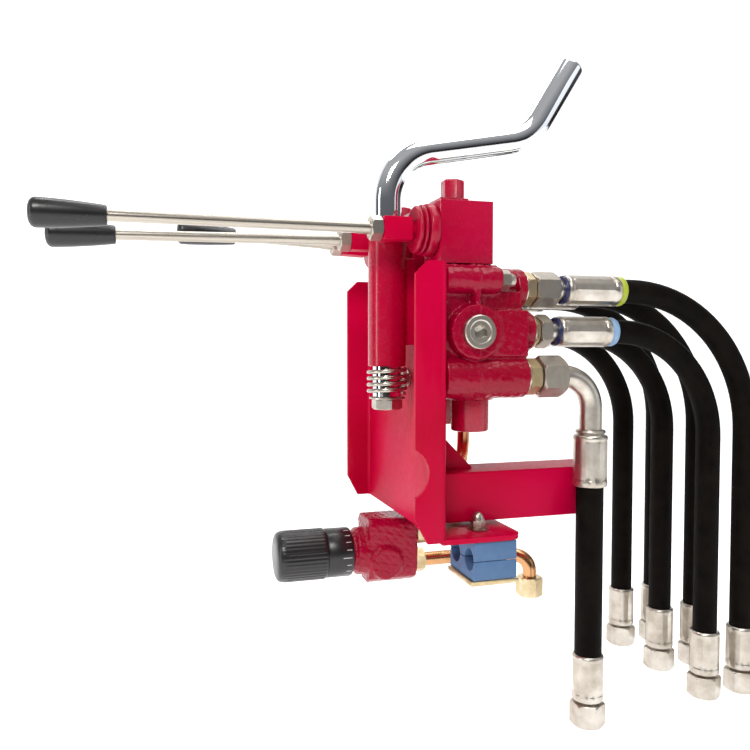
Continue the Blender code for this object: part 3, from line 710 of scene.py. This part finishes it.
def open_ends(made):
    """Joins a closed profile's first and last rings, in place of their end fans."""
    shape = bmesh.new()
    shape.from_mesh(made.data)
    middles = [v for v in shape.verts if len(v.link_edges) > 12]
    bmesh.ops.delete(shape, geom=middles, context="VERTS")
    edges = [e for e in shape.edges if e.is_boundary]
    bmesh.ops.bridge_loops(shape, edges=edges)
    bmesh.ops.recalc_face_normals(shape, faces=shape.faces)
    shape.to_mesh(made.data)
    shape.free()
    return made


for number, (y, tilt) in enumerate(zip(section_y, lever_tilts), 1):
    box = softened(f"lever_housing_{number}", f"lever_box_{number}", 0.0008, red_tube)
    ridden(box, "valve", "red_paint", f"lever_box_{number}")
    boot = open_ends(ribbed_boot(number, y, tilt))
    start, end = at((-2.5, y, pivot_z)), at((boot_front, y, pivot_z))
    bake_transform(boot)
    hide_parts(f"boot_{number}")


# Levers: a painted square head with its ball finger and pin, a lock nut, a bright drawn rod and a black
# moulded grip that swells towards its domed end.
def bright_bar(name):
    made = Finish(name)
    drawn = {"Vector": made.place(), "Scale": (12.0, 700.0, 700.0)}
    streak_place = made.node("ShaderNodeMapping", drawn)
    streaks = made.noise(1.0, 3.0, 0.6, streak_place)
    made.set(Metallic=1.0, Base_Color=made.mixed(streaks, colour(0.56, 0.52, 0.46), colour(0.34, 0.30, 0.25)))
    made.set(Roughness=made.ranged(streaks, 0.3, 0.7, 0.2, 0.36))
    made.bumps(streaks, 0.08, 0.0001)
    return made.material


def black_moulding(name, rough):
    made = Finish(name)
    grain = made.noise(850.0, 3.0, 0.6)
    scuff = made.noise(45.0, 5.0, 0.65)
    worn = made.ranged(scuff, 0.62, 0.8, 0.0, 1.0)
    made.set(Base_Color=made.mixed(worn, colour(0.009, 0.009, 0.010), colour(0.035, 0.032, 0.030)))
    made.set(Roughness=made.ranged(scuff + grain * 0.3, 0.4, 0.95, rough, rough + 0.2))
    made.bumps(grain, 0.2, 0.0002)
    return made.material


bright_steel = bright_bar("bright_drawn_steel")
black_grip = black_moulding("black_grip", 0.22)
grip_ends = (-289.0, -286.0, -189.0)
grip_length = 50.0
head_starts = (-42.5, -51.0, -42.5)


def raised(made, y, tilt):
    """Turns a level piece about its lever's pin, so that its outer end rises by the tilt in degrees."""
    pin = Vector(at((pivot_x, y, pivot_z)))
    turn = Matrix.Rotation(math.radians(tilt), 4, "Y")
    made.data.transform(Matrix.Translation(pin) @ turn @ Matrix.Translation(-pin))
    return made


def lever_grip(number, axis, outer):
    """A profile turned about X: a quarter-round end whose radius goes as a sine to a power, a flank
    that narrows as a power of the distance, and a lip that turns in to the rod."""
    dome_length, widest = 5.0, 10.2
    dome = np.linspace(0.0, math.pi / 2, 9)
    dome_x = outer + dome_length * (1 - np.cos(dome))
    dome_r = np.maximum(widest * np.sin(dome) ** 0.6, 0.05)
    flank = np.linspace(0.0, 1.0, 14)[1:]
    flank_x = outer + dome_length + (grip_length - 6.2) * flank
    flank_r = widest - 3.1 * flank**1.6
    mouth = outer + grip_length
    stations = np.concatenate((dome_x, flank_x, [mouth - 0.5, mouth, mouth, mouth - 1.5]))
    radii = np.concatenate((dome_r, flank_r, [6.9, 6.2, 4.9, 4.4]))
    return turned_piece(f"grip_{number}", "X", axis, stations, radii, 56, black_grip, 50.0)


levers = zip(section_y, grip_ends, head_starts, lever_tilts)
for number, (y, grip_end, head_start, tilt) in enumerate(levers, 1):
    body = f"lever_{number}"
    axis = (y, pivot_z)
    head = softened(f"square_head_{number}", f"lever_hub_{number}", 0.0009, red_sheet)
    ridden(head, body, "red_paint", f"lever_hub_{number}")
    nut = hexagon_piece(f"lock_nut_{number}", "X", axis, 17.0, head_start - 9.5, head_start - 0.3, zinc)
    mouth = grip_end + grip_length
    rod_x = [grip_end + 28.3, mouth + 3, mouth + 40]
    rod_x += [head_start - 19, head_start - 17, head_start + 13.2]
    rod_r = [3.9, 3.9, 4.0, 4.3, 4.8, 4.8]
    rod = turned_piece(f"lever_bar_{number}", "X", axis, rod_x, rod_r, 40, bright_steel)
    grip = lever_grip(number, axis, grip_end)
    ridden(raised(nut, y, tilt), body, "zinc", f"lever_locknut_{number}")
    ridden(raised(rod, y, tilt), body, "bright_steel", f"lever_rod_{number}")
    ridden(raised(grip, y, tilt), body, "black_plastic", f"lever_knob_{number}")
    spool = softened(f"ground_spool_{number}", f"spool_{number}", 0.0003, bright_steel, 2)
    ridden(spool, f"spool_{number}", "bright_steel", f"spool_{number}")


# Swing handle: a chromed steel bar bent twice, that turns in a painted tube welded to the bracket. A
# wire spring and a flanged bolt under the tube hold it down and give it friction.
def polished_chrome():
    made = Finish("polished_chrome")
    haze = made.noise(30.0, 4.0, 0.6)
    made.set(Metallic=1.0, Base_Color=colour(0.86, 0.88, 0.91))
    made.set(Roughness=made.ranged(haze, 0.35, 0.75, 0.05, 0.14))
    return made.material


handle_x, handle_y, handle_radius = -28.0, 63.0, 11.5
handle_centre = (handle_x, handle_y)
tube_z = [-17.0, -17.0, -16.4, 83.4, 84.0, 84.0, 83.0, -16.0]
tube_r = [12.3, 14.7, 15.3, 15.3, 14.7, 12.7, 12.2, 12.2]
guide = open_ends(turned_piece("guide_tube", "Z", handle_centre, tube_z, tube_r, 80, red_tube))
ridden(guide, "valve", "red_paint", "handle_tube")


def flat_bar(name, low, high, edge, material):
    """A bar with rounded long edges: a rounded-square outline, given by the eighth-power curve
    |x|^8 + |y|^8 = 1, carried up Z, with its two ends drawn in a little."""
    low, high = np.asarray(low, float), np.asarray(high, float)
    turn = np.linspace(0.0, math.tau, 64, endpoint=False)
    reach = (np.abs(np.cos(turn)) ** 8 + np.abs(np.sin(turn)) ** 8) ** (-1 / 8)
    middle = (low + high) / 2
    half = (high - low) / 2
    stations = np.array([low[2], low[2] + edge, high[2] - edge, high[2]])
    shrink = np.array([edge, 0.0, 0.0, edge])[:, None]
    x = middle[0] + (half[0] - shrink) * (reach * np.cos(turn))[None, :]
    y = middle[1] + (half[1] - shrink) * (reach * np.sin(turn))[None, :]
    z = np.broadcast_to(stations[:, None], x.shape)
    grid = np.stack((x, y, z), axis=-1)
    return skin(name, at(grid), (0.05, (stations - stations[0]) / 1000.0), material)


lug = flat_bar("guide_lug", (handle_x + 14, handle_y - 4, 0), (-4.3, handle_y + 4, 70), 0.8, red_sheet)
ridden(lug, "valve", "red_paint", "handle_tube")
chrome = polished_chrome()
handle_corners = [(handle_x, handle_y, -41.4), (handle_x, handle_y, 150), (97, handle_y, 174)]
handle_corners.append((138, handle_y, 240))
handle_line = rounded_line(handle_corners, [42.0, 46.0], 28)
tip = handle_line[-1]
toward = (handle_line[-1] - handle_line[-2]) / np.linalg.norm(handle_line[-1] - handle_line[-2])
tip_turn = np.linspace(0.0, 1.0, 7)
tip_round = 3.0
tip_points = tip - toward * (tip_round * (1 - np.sin(tip_turn * math.pi / 2)))[:, None]
tip_radii = handle_radius - tip_round * (1 - np.cos(tip_turn * math.pi / 2))
handle_points = np.concatenate((handle_line[:-1], tip_points))
handle_radii = np.concatenate((np.full(len(handle_line) - 1, handle_radius), tip_radii))
handle_grid = at(carried(handle_points, handle_radii, 64, (0.0, 1.0, 0.0)))
bar = skin("chrome_handle", handle_grid, (0.072, run_of(handle_points)), chrome)
ridden(bar, "handle", "chrome", "swing_handle")

coil_radius, wire_radius, coils = 14.9, 1.6, 4.0
coil_low, coil_high = -39.4, -19.3
wire_turn = np.linspace(0.0, coils * math.tau, 200)
wire_z = coil_low + (coil_high - coil_low) * wire_turn / wire_turn[-1]
wire_x = handle_x + coil_radius * np.cos(wire_turn)
wire_y = handle_y + coil_radius * np.sin(wire_turn)
wire = np.stack((wire_x, wire_y, wire_z), axis=-1)
wire_grid = at(carried(wire, wire_radius, 18, (0.0, 0.0, 1.0)))
coil = skin("friction_spring", wire_grid, (0.010, run_of(wire)), bright_steel)
ridden(coil, "handle", "bright_steel", "handle_spring")
flange_z = [-43.6, -43.2, -42.2, -41.8]
flange = turned_piece("bolt_flange", "Z", handle_centre, flange_z, [13.8, 14.5, 14.5, 13.8], 64, zinc)
ridden(flange, "handle", "zinc", "handle_bolt")
bolt_head = hexagon_piece("bolt_head", "Z", handle_centre, 22.0, -52.0, -43.5, zinc)
ridden(bolt_head, "handle", "zinc", "handle_bolt")

# Mounting bolts: two hexagon heads on round washers, in the operator's side of the sheet, that pull the
# valve against the bracket's back.
for number, centre in enumerate(((80.0, -28.0), (130.0, 48.0)), 1):
    head = hexagon_piece(f"mounting_head_{number}", "X", centre, 13.0, -10.0, -5.4, zinc)
    washer = turned_piece(f"mounting_washer_{number}", "X", centre, [-5.5, -4.3], [7.4, 7.4], 40, zinc)
    shank = turned_piece(f"mounting_shank_{number}", "X", centre, [-4.4, 12.0], [4.0, 4.0], 24, zinc)
    for part in (head, washer, shank):
        ridden(part, "valve", "zinc", f"mounting_bolt_{number}")


# Flow regulator: a small painted casting with a black click knob, its skirt marked with white ticks, on
# the operator's side. Its two unions face the valve.
regulator_centre = (140.0, -188.0)
housing = cast("regulator_casting", "regulator_body", 0.0008, 26, red_rough)
ridden(housing, "valve", "red_cast", "regulator_body")


def click_knob():
    """A knob with 40 shallow flutes on its grip: a cosine of the angle, only where the flute share is 1.
    The dome, the grip, a groove and a smooth skirt follow each other along X."""
    dome_x = [-108, -107.8, -106.6, -105, -102.5, -100]
    stations = np.array(dome_x + [-98, -67, -65, -64, -63, -62.2, -41.4, -40.4])
    radii = np.array([8, 17.5, 20.4, 21.6, 22.4, 22.7, 22.7, 22.7, 22.7, 22.2, 21.2, 21.9, 21.9, 21.2])
    share = np.array([0, 0, 0, 0, 0.2, 0.7, 1, 1, 0.6, 0, 0, 0, 0, 0], float)
    turn = np.linspace(0.0, math.tau, 240, endpoint=False)
    flutes, flute_depth = 40, 0.45
    flute = flute_depth * (np.cos(flutes * turn) - 1.0) / 2
    grid = radii[:, None] + share[:, None] * flute[None, :]
    return turned_piece("click_knob", "X", regulator_centre, stations, grid, 240, black_grip, 45.0)


white_mark = plain_plastic("white_mark", colour(0.75, 0.75, 0.72), 0.5)


def skirt_ticks():
    """Twenty thin white bars round the skirt, every fifth one longer: each is a box on the cylinder whose
    corners are the products of two radii, two stations and two angles."""
    ticks = np.arange(20)
    turn = ticks * math.tau / len(ticks)
    length = np.where(ticks % 5 == 0, 8.0, 4.5)
    radius = np.array([21.7, 22.05])
    half = 0.012
    t, r, s, e = np.meshgrid(ticks, np.arange(2), np.arange(2), np.arange(2), indexing="ij")
    angle = turn[t] + (e * 2 - 1) * half
    x = -42.4 - s * length[t]
    y = regulator_centre[0] + radius[r] * np.cos(angle)
    z = regulator_centre[1] + radius[r] * np.sin(angle)
    points = at(np.stack((x, y, z), axis=-1).reshape(-1, 3))
    sides = np.array([[0, 1, 3, 2], [4, 6, 7, 5], [0, 4, 5, 1], [2, 3, 7, 6], [0, 2, 6, 4], [1, 5, 7, 3]])
    faces = (ticks[:, None, None] * 8 + sides[None]).reshape(-1, 4)
    mesh = bpy.data.meshes.new("skirt_ticks")
    mesh.from_pydata(points.tolist(), [], faces.tolist())
    shape = bmesh.new()
    shape.from_mesh(mesh)
    bmesh.ops.recalc_face_normals(shape, faces=shape.faces)
    shape.to_mesh(mesh)
    shape.free()
    mesh.materials.append(white_mark)
    made = bpy.data.objects.new("skirt_ticks", mesh)
    bpy.context.scene.collection.objects.link(made)
    return made


ridden(click_knob(), "flow_knob", "black_plastic", "regulator_knob")
ridden(skirt_ticks(), "flow_knob", "black_plastic")


# Pipework: two bent steel pipes with bronze-tinted plate, from the regulator up to the valve's feed port
# and out to the supply hose. Their unions are plated hexagons.
def tinted_pipe():
    made = Finish("bronze_tinted_plate")
    cloud = made.noise(40.0, 3.0, 0.6)
    bronzed, worn = colour(0.72, 0.38, 0.17), colour(0.45, 0.24, 0.12)
    made.set(Metallic=1.0, Base_Color=made.mixed(cloud, bronzed, worn))
    made.set(Roughness=made.ranged(cloud, 0.3, 0.7, 0.16, 0.3))
    return made.material


bronze = tinted_pipe()
feed_port = (60.0, 110.0)
outlet = (132.0, -172.0)
inlet = (146.0, -203.0)
supply_foot = (135.0, 124.0)
union_x = 33
feed_corners = [(*feed_port, -56), (60, 112, -95), (60, 132, -145), (60, *outlet), (union_x, *outlet)]
feed_line = rounded_line(feed_corners, [60.0, 50.0, 15.0], 12)
supply_corners = [(union_x, *inlet), (108, *inlet), (*supply_foot, -203), (*supply_foot, -223)]
supply_line = rounded_line(supply_corners, [30.0, 13.0], 12)
oblique = (1.0, 1.0, 1.0)
feed_grid = at(carried(feed_line, 5.5, 32, oblique))
feed = skin("feed_tube", feed_grid, (0.034, run_of(feed_line)), bronze)
ridden(feed, "valve", "bronzed_pipe", "feed_pipe")
supply_grid = at(carried(supply_line, 6.5, 32, oblique))
supply = skin("supply_tube", supply_grid, (0.04, run_of(supply_line)), bronze)
ridden(supply, "valve", "bronzed_pipe", "supply_pipe")
unions = [
    ("outlet_union", "X", outlet, 20.0, 20.3, 34.0, "feed_pipe"),
    ("feed_union", "Z", feed_port, 20.0, -57.0, -46.3, "feed_pipe"),
    ("inlet_union", "X", inlet, 20.0, 20.3, 34.0, "supply_pipe"),
    ("supply_union", "Z", supply_foot, 22.0, -240.0, -222.0, "supply_pipe"),
]
for name, axis, centre, flats, start, end, node in unions:
    union = hexagon_piece(name, axis, centre, flats, start, end, yellow_zinc)
    ridden(union, "valve", "bronzed_pipe", node)

# Pipe clamp: two ribbed blue plastic halves with two bores, squeezed under the bracket's foot between a
# plated plate and a bolt that ends in a dome nut on two washers.
blue_plastic = plain_plastic("blue_clamp_plastic", colour(0.075, 0.165, 0.33), 0.45)
clamp_bolt = (35.5, 24.8)
for half in ("clamp_upper", "clamp_lower"):
    ridden(softened(f"{half}_half", half, 0.0007, blue_plastic), "valve", "blue_plastic", half)
plate = softened("clamp_backing", "clamp_plate", 0.0005, yellow_zinc, 2)
ridden(plate, "valve", "yellow_zinc", "clamp_plate")
clamp_head = hexagon_piece("clamp_head", "Z", clamp_bolt, 12.0, -190.0, -184.3, zinc)
clamp_shank = turned_piece("clamp_shank", "Z", clamp_bolt, [-184.4, -136.0], [3.0, 3.0], 24, zinc)
for part in (clamp_head, clamp_shank):
    ridden(part, "valve", "zinc", "clamp_bolt")
wide_washer = turned_piece("wide_washer", "Z", clamp_bolt, [-145.7, -144.8], [8.5, 8.5], 48, zinc)
narrow_washer = turned_piece("narrow_washer", "Z", clamp_bolt, [-144.7, -143.7], [7.0, 7.0], 48, zinc)
nut_base = hexagon_piece("dome_nut_hexagon", "Z", clamp_bolt, 10.6, -143.7, -138.4, zinc)
dome_rise = np.linspace(0.0, math.pi / 2, 10)
dome_z, dome_r = -138.6 + 7.0 * np.sin(dome_rise), 0.05 + 5.1 * np.cos(dome_rise)
dome_nut = turned_piece("dome_nut_cap", "Z", clamp_bolt, dome_z, dome_r, 40, zinc)
for part in (wide_washer, narrow_washer, nut_base, dome_nut):
    ridden(part, "valve", "zinc", "clamp_dome_nut")
